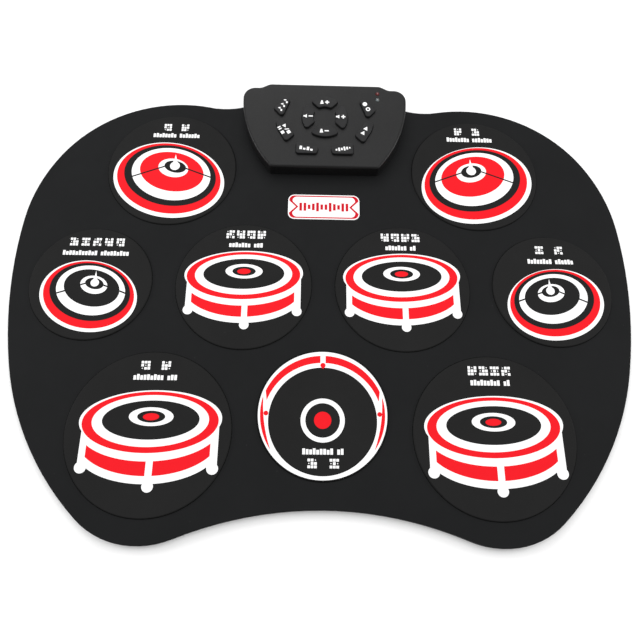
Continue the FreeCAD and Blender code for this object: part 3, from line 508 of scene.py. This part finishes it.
CYMBALS = {
    "crash_cymbal_pad_left": {
        "outer": (-1.8, -9.95, 43.3, 33.3, -13.5),
        "red_outer": (-1.9, -8.5, 40.55, 31.2, -13.5),
        "red_inner": (-1.2, -6.1, 36.0, 26.9, -13.6),
        "band": (-0.55, -4.9, 30.95, 23.2, -13.8),
        "core": (-0.2, -2.8, 25.2, 17.5, -13.8),
        "bell": (0.7, 0.5, 11.8, 8.3, -13.8),
        "well": (2.1, 1.6, 8.6, 5.3, -13.8),
        "knob": (1.8, 2.3, 3.8, (1.6, 13.0)),
        "seams": (((-6, 1.8), (-30.6, -8.2)), ((9.5, 0.6), (31.2, -7.8))),
        "red_core": True,
    },
    "crash_cymbal_pad_right": {
        "outer": (1.4, -8.9, 44.2, 34.1, 16.0),
        "red_outer": (0.9, -7.4, 41.3, 32.1, 15.6),
        "red_inner": (0.3, -4.95, 36.7, 27.6, 15.8),
        "band": (0.0, -3.8, 31.7, 23.8, 16.6),
        "core": (-1.0, -1.5, 25.7, 17.95, 15.6),
        "bell": (-2.1, 1.8, 12.2, 8.5, 16.6),
        "well": (-2.0, 2.9, 8.3, 5.5, 16.0),
        "knob": (-2.0, 3.4, 3.8, (-2.3, 14.3)),
        "seams": (((-10, 1.5), (-31.5, -7.4)), ((6, 3), (31.0, -6.9))),
        "red_core": True,
    },
    "hi_hat_pad": {
        "outer": (-0.3, -10.3, 35.2, 27.1, -14.0),
        "red_outer": (-0.15, -9.3, 32.9, 25.5, -14.4),
        "red_inner": (0.4, -7.2, 29.3, 22.0, -14.2),
        "band": (0.8, -6.1, 25.1, 18.9, -14.1),
        "core": (1.3, -4.3, 20.4, 14.1, -14.4),
        "bell": (2.5, -1.9, 9.9, 6.9, -14.0),
        "well": (2.8, -0.9, 6.8, 4.3, -14.0),
        "knob": (3.0, -0.3, 3.0, (2.9, 9.2)),
        "seams": (
            ((-23.6, -9.0), (-16.6, -6.6)),
            ((21.0, -6.3), (26.4, -8.4)),
            ((-8.0, -2.4), (-3.2, -0.7)),
            ((8.6, -1.8), (12.6, -3.2)),
        ),
        "red_core": False,
    },
    "ride_cymbal_pad": {
        "outer": (1.3, -10.9, 35.9, 27.5, 13.0),
        "red_outer": (1.0, -9.6, 33.6, 25.85, 12.8),
        "red_inner": (0.5, -7.6, 29.9, 22.3, 13.2),
        "band": (0.1, -6.6, 25.7, 19.2, 13.3),
        "core": (-0.5, -4.75, 20.75, 14.4, 13.2),
        "bell": (-1.0, -2.3, 10.1, 7.0, 13.0),
        "well": (-1.3, -1.0, 6.7, 4.3, 13.0),
        "knob": (-1.4, -0.6, 3.1, (-1.4, 8.8)),
        "seams": (
            ((-25.6, -9.2), (-20.0, -7.1)),
            ((19.0, -6.6), (25.6, -9.5)),
            ((-11.2, -3.2), (-7.0, -1.8)),
            ((4.8, -1.1), (9.2, -3.0)),
        ),
        "red_core": False,
    },
}


RING_NAMES = ("outer", "red_outer", "red_inner", "band", "core", "bell", "well")


def print_cymbal(pad, body, place, art):
    """A cymbal seen from the drummer's seat: rings, bell, knob and seams."""
    rings = {name: ellipse(*art[name]) for name in RING_NAMES}
    x, y, a, b, turn = art["red_inner"]
    under_red = ellipse(x, y, a + 0.3, b + 0.3, turn)
    white = [rings["outer"], under_red, rings["band"]]
    red = [rings["red_outer"], rings["red_inner"]]
    if art["red_core"]:
        red += [rings["core"], rings["bell"]]
        white.append(rings["well"])
    else:
        white += [rings["core"], rings["bell"], rings["well"]]
    printed(pad + "_white_print", white, place, body, WHITE_INK, 0)
    printed(pad + "_red_print", red, place, body, RED_INK, 1)
    printed(pad + "_seams_print", [bar(*seam, 1.1) for seam in art["seams"]], place, body, BLACK_INK, 2)
    printed(pad + "_knob_print", [knob(*art["knob"])], place, body, WHITE_INK, 3)


def below(x, centre_x, centre_y, a, b, slope):
    """Height of the lower half of an ellipse at x, sheared by a slope in degrees."""
    offset = x - centre_x
    return centre_y - b * math.sqrt(1 - (offset / a) ** 2) + offset * math.tan(math.radians(slope))


def lower_edge(start, end, curve, count=40):
    """Points on the lower half of an ellipse from one x to another."""
    places = [start + (end - start) * step / count for step in range(count + 1)]
    return [(x, below(x, *curve)) for x in places]


# A drum seen from the drummer's seat. Each curve is (middle x, middle y, half width, half height, slope).
PANEL_TOP = (-0.4, 4.7, 43.0, 21.1, 1.1)
PANEL_FOOT = (-0.4, -1.3, 43.0, 23.7, 0.6)
HOOP_FOOT = (-0.4, -7.4, 43.0, 22.2, 0.7)
PANELS = ((-37.0, -0.7), (3.5, 36.7))


def drum_art():
    """White, red and top white loops of the drum."""
    head = arc(-0.3, 8.5, 43.0, 18.65, -14.7, 198.8, 90)
    head = [(x, y + x * math.tan(math.radians(1.6))) for x, y in head]
    left_foot = arc(-38.8, -20.3, 3.5, 3.5, 129, 366, 24)
    right_foot = arc(38.7, -20.3, 3.5, 3.5, 174, 402, 24)
    outline = head + left_foot + lower_edge(-35.2, 35.1, HOOP_FOOT, 60) + right_foot
    white = [
        outline,
        ellipse(-0.3, 8.6, 29.4, 12.1, 1.4),
        ellipse(-0.3, 10.6, 13.5, 5.8),
        ellipse(-0.3, 10.6, 8.5, 3.7),
    ]
    red = [
        ellipse(-0.45, 7.4, 41.2, 18.9, 1.6),
        ellipse(-0.45, 8.1, 35.3, 16.0, 1.7),
        ellipse(-0.4, 10.5, 4.9, 2.2, 1.6),
    ]
    for left, right in PANELS:
        red.append(lower_edge(left, right, PANEL_TOP) + lower_edge(right, left, PANEL_FOOT))
    foot = [disc(1.6, -31.0, 3.4)]
    return white, red, foot


# How the drawing is moved and scaled for each size of drum.
TOM = ((0, 0), (1, 1))
FLOOR = ((0.16, -2.53), (1.094, 1.083))
SNARE = ((1.46, -1.63), (1.094, 1.083))
DRUMS = {"high_tom_pad": TOM, "low_tom_pad": TOM, "snare_drum_pad": SNARE, "floor_tom_pad": FLOOR}


def print_drum(pad, body, place, fit):
    white, red, foot = (moved(loops, *fit) for loops in drum_art())
    printed(pad + "_white_print", white, place, body, WHITE_INK, 0)
    printed(pad + "_red_print", red, place, body, RED_INK, 1)
    printed(pad + "_foot_print", foot, place, body, WHITE_INK, 1)


def print_bass(pad, body, place):
    """The bass drum seen from the front: hoop, lugs and the beater's spot."""
    white = [disc(0, 0, 43.45, 180), disc(0, -4.4, 36.5, 160), disc(0, -4.4, 14.8, 96), disc(0, -4.4, 11.6, 96)]
    red = [disc(0, -4.4, 5.8)]
    upper, lower = (0, -1.9, 42.5), (0, -4.74, 40.2)
    for side in (-1, 1):
        start = 90 - math.degrees(math.asin(1.8 / upper[2]))
        end = math.degrees(math.acos(38.8 / upper[2]))
        top = arc(upper[0], upper[1], upper[2], upper[2], start, end, 40)
        start = math.degrees(math.acos(37.9 / lower[2]))
        end = 90 - math.degrees(math.asin(1.8 / lower[2]))
        foot = arc(lower[0], lower[1], lower[2], lower[2], start, end, 40)
        red += moved([top + foot], (0, 0), (side, 1))
        outside = bow((40.4, 11.5), (42.0, 0.0), (34.5, -24.0))
        inside = bow((34.4, -24.0), (39.5, -3.0), (40.2, 11.5))
        red += moved([outside + inside[1:-1]], (0, 0), (side, 1))
    top_lug = [(0, 31.2)] + arc(0, 33.7, 1.8, 1.8, -40, 220, 24)
    lugs = [top_lug, disc(-38.1, 0, 1.6, 32), disc(38.3, 0, 1.6, 32)]
    printed(pad + "_white_print", white, place, body, WHITE_INK, 0)
    printed(pad + "_red_print", red, place, body, RED_INK, 1)
    printed(pad + "_lugs_print", lugs, place, body, RED_INK, 2)


# Marks on each pad: tiles as (left, right, bottom, top, count, width of one), then the level row's box.
LABELS = {
    "crash_cymbal_pad_left": ((-10.0, 10.0, 35.2, 42.0, 2, 6.2), (-18.5, 19.5, 29.0, 33.0)),
    "crash_cymbal_pad_right": ((-13.0, 7.5, 37.2, 44.3, 2, 6.2), (-20.5, 18.0, 31.0, 35.2)),
    "hi_hat_pad": ((-19.5, 20.5, 29.2, 36.0, 5, 6.2), (-24.0, 25.0, 21.7, 25.5)),
    "ride_cymbal_pad": ((-9.0, 12.0, 29.2, 36.0, 2, 6.5), (-16.0, 19.0, 21.3, 25.3)),
    "high_tom_pad": ((-15.0, 14.5, 37.3, 44.3, 4, 6.3), (-12.8, 12.8, 30.2, 34.0)),
    "low_tom_pad": ((-15.0, 14.5, 37.0, 44.0, 4, 6.3), (-12.8, 12.2, 30.0, 34.0)),
    "snare_drum_pad": ((-9.5, 11.0, 42.0, 48.5, 2, 6.5), (-15.0, 17.0, 35.0, 39.0)),
    "floor_tom_pad": ((-15.0, 15.0, 41.2, 48.0, 4, 6.5), (-14.0, 14.0, 34.2, 38.3)),
    "bass_drum_pad": ((-10.0, 11.0, -36.0, -29.5, 2, 6.5), (-14.5, 15.0, -27.0, -23.0)),
}


def print_pads():
    tree = frame["record"]["behaviour"]["bodies"]
    bodies = {node: body for body, nodes in tree.items() for node in nodes}
    for order, (pad, (grid, row)) in enumerate(LABELS.items()):
        low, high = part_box(pad)
        middle = (low + high) / 2 / MM
        place = Matrix.Translation((middle.x, middle.y, high.z / MM))
        body = bodies[pad]
        if pad in CYMBALS:
            print_cymbal(pad, body, place, CYMBALS[pad])
        elif pad in DRUMS:
            print_drum(pad, body, place, DRUMS[pad])
        else:
            print_bass(pad, body, place)
        marks = tiles(*grid, first=order) + level_row(*row, phase=order * 0.9)
        printed(pad + "_marks_print", marks, place, body, WHITE_INK, 0)


# ---------------------------------------------------------------- badge and key symbols


def print_badge():
    """Red keyline with arrow-shaped ends, and a level meter inside it."""
    low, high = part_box("badge_plate")
    middle = (low + high) / 2 / MM
    place = Matrix.Translation((middle.x, middle.y, high.z / MM))
    outer_quarter = [(-21.3, 0.0), (-26.6, 5.4)] + bow((-26.4, 6.6), (-25.3, 8.6), (-22.5, 9.8), 10)
    inner_quarter = [(-19.5, 0.0), (-23.9, 4.7)] + bow((-24.0, 5.8), (-23.1, 7.7), (-20.2, 8.8), 10)
    frame_loops = []
    for quarter in (outer_quarter, inner_quarter):
        upper = quarter + [(-x, y) for x, y in reversed(quarter)]
        lower = [(x, -y) for x, y in reversed(upper)][1:-1]
        frame_loops.append(upper + lower)
    meter = []
    for place_in_row in range(12):
        x = -18.7 + 3.22 * place_in_row
        height = 2.9 + 1.0 * math.sin(1.9 * place_in_row + 0.6)
        meter.append(box(x, -height, x + 2.0, height))
    printed("badge_print", frame_loops + meter, place, "drum_mat", BADGE_RED, 0)


def plus(x, y, size, width):
    h, w = size / 2, width / 2
    return [
        (x - w, y - h), (x + w, y - h), (x + w, y - w), (x + h, y - w),
        (x + h, y + w), (x + w, y + w), (x + w, y + h), (x - w, y + h),
        (x - w, y + w), (x - h, y + w), (x - h, y - w), (x - w, y - w),
    ]


def minus(x, y, size, width):
    return box(x - size / 2, y - width / 2, x + size / 2, y + width / 2)


def note(x, y, size):
    """A quaver: head, stem and flag."""
    head = ellipse(x, y - size * 0.32, size * 0.24, size * 0.18, 20, 24)
    stem = [
        (x + size * 0.12, y - size * 0.1), (x + size * 0.24, y - size * 0.1),
        (x + size * 0.24, y + size * 0.22), (x + size * 0.5, y + size * 0.02),
        (x + size * 0.5, y + size * 0.2), (x + size * 0.24, y + size * 0.5),
        (x + size * 0.12, y + size * 0.5),
    ]
    return [head, stem]


def triangle(x, y, size):
    """A play sign."""
    return [(x - size * 0.42, y - size / 2), (x + size * 0.5, y), (x - size * 0.42, y + size / 2)]


def metronome(x, y, size):
    return [
        (x - size * 0.42, y - size / 2), (x + size * 0.42, y - size / 2),
        (x + size * 0.16, y + size / 2), (x - size * 0.16, y + size / 2),
    ]


def speaker(x, y, size):
    return [
        (x - size * 0.45, y - size * 0.2), (x - size * 0.12, y - size * 0.2), (x + size * 0.35, y - size / 2),
        (x + size * 0.35, y + size / 2), (x - size * 0.12, y + size * 0.2), (x - size * 0.45, y + size * 0.2),
    ]


# Size of a symbol on a key, and width of its strokes.
SYMBOL = 3.3
STROKE = 1.0
# Symbols on each key: place from the middle of the key ring, turn, and loops about the origin.
KEY_SIGNS = {
    "tempo_up_key": ((-0.3, 13.1), 0, [metronome(-2.1, 0, SYMBOL), plus(2.0, 0, SYMBOL, STROKE)]),
    "tempo_down_key": ((-0.5, -13.1), 0, [metronome(-2.1, 0, SYMBOL), minus(2.0, 0, SYMBOL, STROKE)]),
    "volume_down_key": ((-13.3, 0.0), 0, [speaker(-2.0, 0, SYMBOL), minus(2.2, 0, SYMBOL, STROKE)]),
    "volume_up_key": ((12.4, 0.0), 0, [speaker(-2.2, 0, SYMBOL), plus(2.1, 0, SYMBOL, STROKE)]),
    "demo_key": ((-33.2, 9.3), 60, note(-4.4, 0, 4.0) + note(-0.2, 0, 4.0) + note(4.0, 0, 4.0)),
    "start_stop_key": (
        (-31.9, -12.7), -58,
        [
            triangle(-2.4, 2.2, 3.2), bar((0.2, 0.7), (1.6, 3.7), 0.8), box(2.5, 0.8, 5.2, 3.5),
            box(-4.2, -3.4, -3.2, -0.8), box(-2.4, -3.4, -1.4, -0.8), box(0.4, -3.4, 3.0, -0.8),
        ],
    ),
    "rhythm_key": (
        (-14.5, -29.0), -8,
        [
            box(-4.9, -1.5, -3.0, 1.5), box(-2.1, -1.5, -0.2, 0.1),
            box(0.7, -1.5, 2.6, 1.5), box(3.5, -1.5, 5.4, 0.1),
        ],
    ),
    "record_key": ((32.9, 9.6), -62, [disc(-2.8, 0, 1.8, 32), disc(2.4, 0, 1.8, 32), disc(2.4, 0, 0.9, 24)]),
    "play_key": ((31.1, -12.2), 60, [triangle(-2.2, 0, 3.6), triangle(2.4, 0, 3.6)]),
    "style_key": (
        (13.8, -28.9), 11,
        [
            box(-5.4, -0.7, -4.1, 0.7), box(-3.3, -1.5, -2.0, 1.5), box(-1.2, -1.0, 0.1, 1.0),
            box(0.9, -1.7, 2.2, 1.7), box(3.0, -1.2, 4.3, 1.2), box(5.1, -0.6, 6.2, 0.6),
        ],
    ),
}
# The sloping panel: its slope, front edge, distance to the middle of the keys, and the keys' height.
PANEL_SLOPE = 3.6
PANEL_FRONT = Vector((0, 101.5, 16.0))
RING_Y = 42.3
KEY_PROUD = 2.0


def print_keys():
    """White symbols on the key caps, in the plane of the sloping panel."""
    panel = Matrix.Translation(PANEL_FRONT) @ Matrix.Rotation(math.radians(PANEL_SLOPE), 4, "X")
    for key, ((x, y), turn, loops) in KEY_SIGNS.items():
        middle = Matrix.Translation((x, RING_Y + y, KEY_PROUD))
        place = panel @ middle @ Matrix.Rotation(math.radians(turn), 4, "Z")
        printed(key + "_print", loops, place, key + "_cap", WHITE_INK, 0)


# ---------------------------------------------------------------- signs by the rear sockets


def headphones(x, y):
    """A band over two ear cups."""
    band = arc(x, y, 1.75, 1.75, 0, 180, 20) + arc(x, y, 1.35, 1.35, 180, 0, 20)
    return [band, box(x - 2.0, y - 1.4, x - 1.1, y + 0.1), box(x + 1.1, y - 1.4, x + 2.0, y + 0.1)]


def arrow_in(x, y):
    """An arrow that points into a bracket."""
    head = [(x - 0.2, y - 1.1), (x + 0.9, y), (x - 0.2, y + 1.1)]
    return [head, box(x - 2.0, y - 0.25, x - 0.2, y + 0.25), box(x + 1.4, y - 1.5, x + 1.8, y + 1.5)]


def pedal(x, y):
    """A foot plate over its base."""
    plate = [(x - 2.0, y - 0.5), (x + 1.9, y + 1.2), (x + 1.7, y + 1.6), (x - 2.1, y + 0.0)]
    return [plate, box(x - 2.1, y - 1.5, x + 2.0, y - 1.0)]


def power_inlet(x, y):
    """A bar over three dashes, for direct current."""
    dashes = [box(x + start, y - 0.6, x + start + 0.9, y - 0.2) for start in (-1.8, -0.45, 0.9)]
    return [box(x - 1.8, y + 0.4, x + 1.8, y + 0.8)] + dashes


def on_and_off(x, y):
    """A ring for off and a stroke for on, either side of the switch."""
    ring = [disc(x - 2.6, y, 1.1, 32), disc(x - 2.6, y, 0.75, 32)]
    return ring + [box(x + 2.4, y - 1.1, x + 2.8, y + 1.1)]


REAR_SIGNS = {
    "headphone_jack": headphones,
    "line_in_jack": arrow_in,
    "hi_hat_pedal_jack": pedal,
    "bass_pedal_jack": pedal,
    "usb_socket": power_inlet,
    "power_switch_body": on_and_off,
}
# Height of the signs on the rear face, and distance of the door's arrow from the door's rear edge.
SIGN_Z = 16.6
ARROW_INSET = 9.0


def print_door_arrow():
    """An arrow on the underside of the battery door, the way that it slides."""
    low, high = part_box("battery_door")
    arrow = [(-1.2, -5.0), (1.2, -5.0), (1.2, 0.5), (3.4, 0.5), (0.0, 4.6), (-3.4, 0.5), (-1.2, 0.5)]
    # Seen from below, so the sheet of ink faces down.
    place = Matrix.Translation((0, high.y / MM - ARROW_INSET, low.z / MM)) @ Matrix.Rotation(math.pi, 4, "Y")
    printed("door_arrow", [arrow], place, "battery_hatch", BLACK_INK, 0)


def print_rear_signs():
    """White signs over each socket, on the upright rear face of the control box."""
    rear_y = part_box("top_shell")[1].y / MM
    for node, sign in REAR_SIGNS.items():
        low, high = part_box(node)
        middle_x = (low.x + high.x) / 2 / MM
        # Seen from behind, the player's left is on the right.
        place = (
            Matrix.Translation((middle_x, rear_y, SIGN_Z))
            @ Matrix.Rotation(math.radians(180), 4, "Z")
            @ Matrix.Rotation(math.radians(90), 4, "X")
        )
        printed(node + "_sign", sign(0, 0), place, "drum_mat", WHITE_INK, 0)


# ---------------------------------------------------------------- screws

HEAD_RADIUS = 2.3
HEAD_DEPTH = 1.5
RECESS_DEPTH = 0.8
SHANK_RADIUS = 1.1
THREAD_PITCH = 0.8


def lathe(work, profile, count=32):
    """Adds a body of revolution about the Z axis. profile is a list of (radius, height)."""
    rings = []
    for radius, height in profile:
        angles = [2 * math.pi * step / count for step in range(count)]
        rings.append([work.verts.new((radius * math.cos(a), radius * math.sin(a), height)) for a in angles])
    for lower, upper in zip(rings, rings[1:]):
        for step in range(count):
            after = (step + 1) % count
            work.faces.new((lower[step], lower[after], upper[after], upper[step]))
    work.faces.new(list(reversed(rings[0])))
    work.faces.new(rings[-1])


def cross_screw(length):
    """A pan-head screw with a cross recess. It stands on its head, with its shank up the Z axis."""
    rim = slab("screw_rim", [disc(0, 0, HEAD_RADIUS, 40), plus(0, 0, 2.7, 0.62)], RECESS_DEPTH)
    work = bmesh.new()
    work.from_mesh(rim)
    lathe(work, [(HEAD_RADIUS, RECESS_DEPTH), (HEAD_RADIUS, HEAD_DEPTH)], 40)
    thread = [(SHANK_RADIUS * 0.78, HEAD_DEPTH - 0.05)]
    height = HEAD_DEPTH + 0.4
    while height < length - 1.2:
        thread += [(SHANK_RADIUS * 0.78, height), (SHANK_RADIUS, height + 0.3), (SHANK_RADIUS, height + 0.38)]
        height += THREAD_PITCH
    thread += [(SHANK_RADIUS * 0.78, length - 1.0), (0.1, length)]
    lathe(work, thread, 24)
    bmesh.ops.recalc_face_normals(work, faces=work.faces)
    mesh = bpy.data.meshes.new("cross_screw")
    work.to_mesh(mesh)
    work.free()
    bpy.data.meshes.remove(rim)
    return mesh


# Places of the case screws, on the right-hand side.
CASE_SCREWS = ((35.5, 107.4), (53.5, 137.0), (54.0, 162.0))


def make_screws():
    """Screws with cross recesses in place of the plain ones under the case."""
    low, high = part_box("case_screws")
    length = (high.z - low.z) / MM
    together = bmesh.new()
    for number, (x, y) in enumerate((side * x, y) for x, y in CASE_SCREWS for side in (-1, 1)):
        single = cross_screw(length)
        single.transform(
            Matrix.Scale(MM, 4)
            @ Matrix.Translation((x, y, low.z / MM))
            @ Matrix.Rotation(math.radians(37 * number), 4, "Z")
        )
        together.from_mesh(single)
        bpy.data.meshes.remove(single)
    mesh = bpy.data.meshes.new("cross_screws")
    together.to_mesh(mesh)
    together.free()
    piece = finish_mesh("cross_screws", mesh, "drum_mat", MATERIALS["screw_steel"])
    edge = piece.modifiers.new("worn_edge", "BEVEL")
    edge.width = 0.12 * MM
    edge.segments = 2
    edge.limit_method = "ANGLE"
    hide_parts("case_screws")


# ---------------------------------------------------------------- studio


def make_camera():
    """The camera of the product picture: above the player's side, looking down and a little ahead."""
    data = bpy.data.cameras.new("camera")
    data.sensor_width = 36.0
    data.lens = 33.8
    camera = bpy.data.objects.new("camera", data)
    scene.collection.objects.link(camera)
    tilt, roll, yaw = math.radians(20.65), math.radians(4.34), math.radians(-3.66)
    turn = Matrix.Rotation(yaw, 3, "Z")
    ahead = turn @ Vector((0, math.sin(tilt), -math.cos(tilt)))
    up = turn @ Vector((0, math.cos(tilt), math.sin(tilt)))
    right = turn @ Vector((1, 0, 0))
    across = right * math.cos(roll) + up * math.sin(roll)
    upward = up * math.cos(roll) - right * math.sin(roll)
    camera.matrix_world = Matrix.Translation(Vector((-11.9, -171.95, 405.5)) * MM) @ Matrix(
        (across, upward, -ahead)
    ).transposed().to_4x4()
    scene.camera = camera


def softbox(name, place, aim, size, power):
    data = bpy.data.lights.new(name, "AREA")
    data.shape = "RECTANGLE"
    data.size, data.size_y = size
    data.energy = power
    light = bpy.data.objects.new(name, data)
    scene.collection.objects.link(light)
    light.location = place
    light.rotation_euler = (Vector(aim) - Vector(place)).to_track_quat("-Z", "Y").to_euler()


def make_floor():
    mesh = bpy.data.meshes.new("studio_floor")
    work = bmesh.new()
    bmesh.ops.create_grid(work, x_segments=8, y_segments=8, size=4.0)
    bmesh.ops.translate(work, verts=work.verts, vec=(0, 0, -0.0002))
    work.to_mesh(mesh)
    work.free()
    floor = bpy.data.objects.new("studio_floor", mesh)
    scene.collection.objects.link(floor)
    mesh.materials.append(floor_paper())


def make_studio():
    world = bpy.data.worlds.new("studio")
    scene.world = world
    world.use_nodes = True
    sky = world.node_tree.nodes["Background"]
    sky.inputs["Color"].default_value = (1.0, 1.0, 1.0, 1)
    sky.inputs["Strength"].default_value = 0.55
    softbox("overhead_softbox", (0.0, 0.25, 1.5), (0, 0.02, 0), (1.8, 1.4), 13)
    softbox("rear_softbox", (-0.25, 1.3, 1.1), (0, 0.05, 0), (1.4, 0.7), 9)
    for side in (-1, 1):
        softbox("side_strip", (side * 1.1, 0.16, 0.33), (side * 0.06, 0.13, 0.01), (0.5, 0.14), 4.5)
    scene.view_settings.view_transform = "Standard"


make_camera()
make_studio()
make_floor()
print_pads()
print_badge()
print_keys()
print_rear_signs()
print_door_arrow()
make_screws()

bpy.context.view_layer.update()
